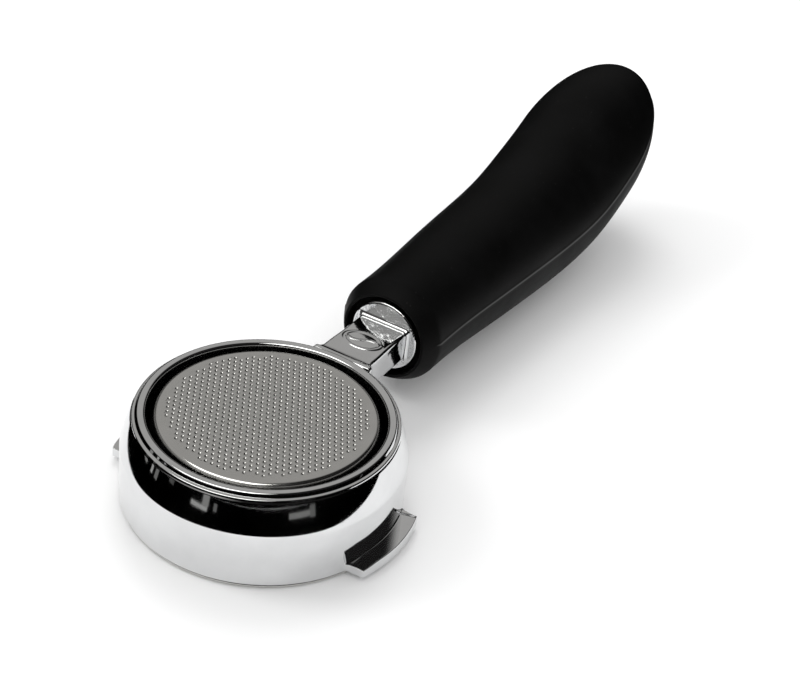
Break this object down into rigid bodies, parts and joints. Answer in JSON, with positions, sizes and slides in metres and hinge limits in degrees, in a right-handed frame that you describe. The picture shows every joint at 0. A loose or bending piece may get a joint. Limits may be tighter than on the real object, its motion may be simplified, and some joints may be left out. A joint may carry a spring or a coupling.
{
  "type": "bottomless portafilter",
  "caption": "Chromed ring with two bayonet lugs and a black swept handle, holding a perforated filter basket that lifts out.",
  "frame": {"origin": "on the ring's axis, in the plane of the basket's rim, which is the face the group gasket seals on and the face the part stands on", "axes": "+Y along the handle, +Z along the ring's axis away from the rim, towards the open mouth where coffee leaves; in the machine the part is used the other way up"},
  "size_m": [0.0784, 0.2382, 0.0523],
  "materials": {
    "chromed_brass": "bright chrome plate over cast brass",
    "basket_steel": "satin drawn stainless, brighter at the floor's corner",
    "spring_steel": "bright drawn wire",
    "grip_black": "satin black moulding",
    "core_nylon": "dull glass-filled nylon",
    "insert_brass": "turned",
    "stud_steel": "zinc plated"
  },
  "bodies": {
    "basket": {"filter_basket": "basket_steel"},
    "holder": {"filter_holder": "chromed_brass", "basket_spring": "spring_steel", "handle_grip": "grip_black", "handle_core": "core_nylon", "handle_insert": "insert_brass", "handle_stud": "stud_steel", "lock_washer": "spring_steel"}
  },
  "joints": [
    {"name": "basket_release", "type": "slide", "parent": "basket", "child": "holder", "axis": [0, 0, 1], "range_m": [0, 0.035]}
  ]
}
